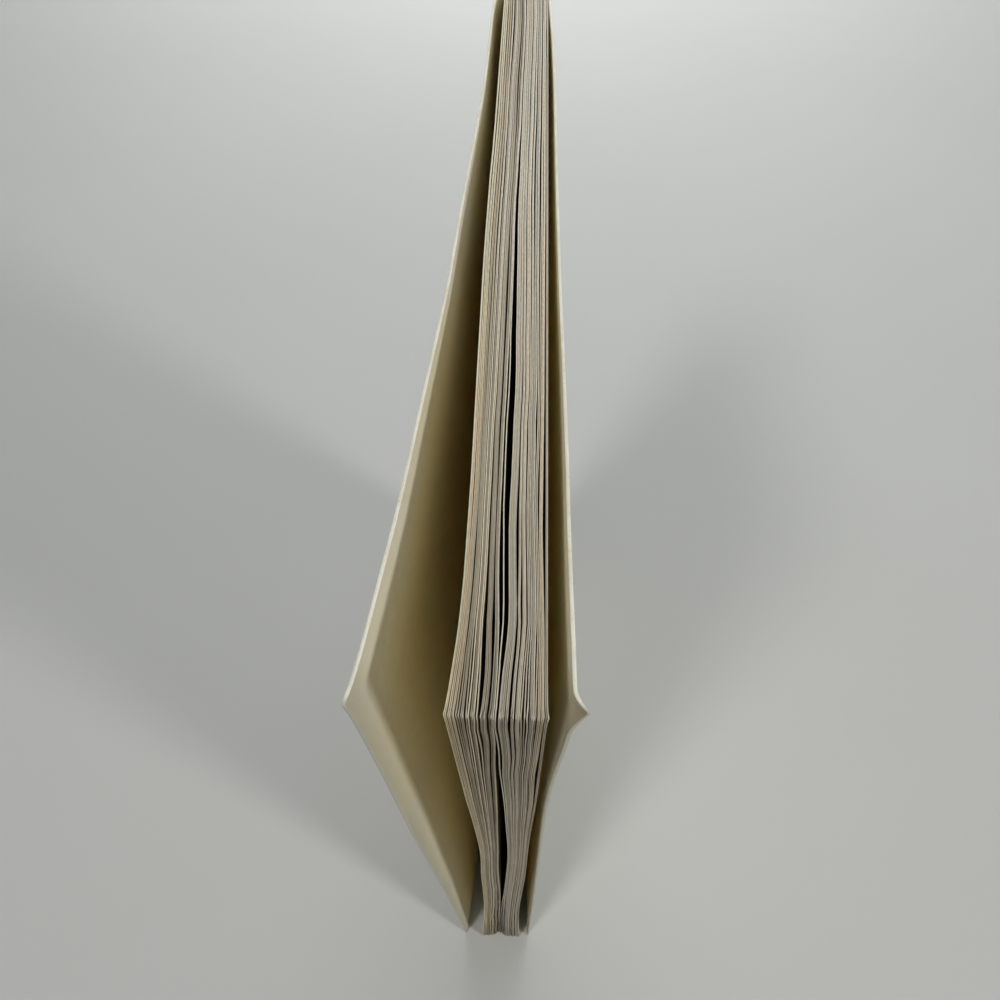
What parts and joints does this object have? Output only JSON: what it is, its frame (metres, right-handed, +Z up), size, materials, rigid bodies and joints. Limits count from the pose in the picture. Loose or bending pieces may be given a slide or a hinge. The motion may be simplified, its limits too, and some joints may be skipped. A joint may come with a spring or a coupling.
{
  "type": "paperback book",
  "caption": "Thin pocket paperback standing on its tail, covers slightly ajar and hinged at the spine, pages parted near the fore-edge.",
  "frame": {"origin": "on the surface the book stands on, at the middle of the page block's tail face", "axes": "+Z up from tail to head, +Y from the fore-edge to the spine, +X from the front cover to the back cover"},
  "size_m": [0.0169, 0.11, 0.178],
  "materials": {
    "pages": "uncoated, slightly yellowed at the edges",
    "glue": "dull, milky",
    "cover_card": "uncoated inside, soft satin outside"
  },
  "bodies": {
    "book_block": {"page_block": "pages", "spine_glue": "glue", "spine_panel": "cover_card"},
    "front_cover": {"front_cover": "cover_card"},
    "back_cover": {"back_cover": "cover_card"}
  },
  "joints": [
    {"name": "front_cover_hinge", "type": "hinge", "parent": "book_block", "child": "front_cover", "pos_m": [-0.0035, 0.055, 0], "axis": [0, 0, -1], "range_deg": [-1.8, 172]},
    {"name": "back_cover_hinge", "type": "hinge", "parent": "book_block", "child": "back_cover", "pos_m": [0.0035, 0.055, 0], "axis": [0, 0, 1], "range_deg": [0, 176]}
  ]
}
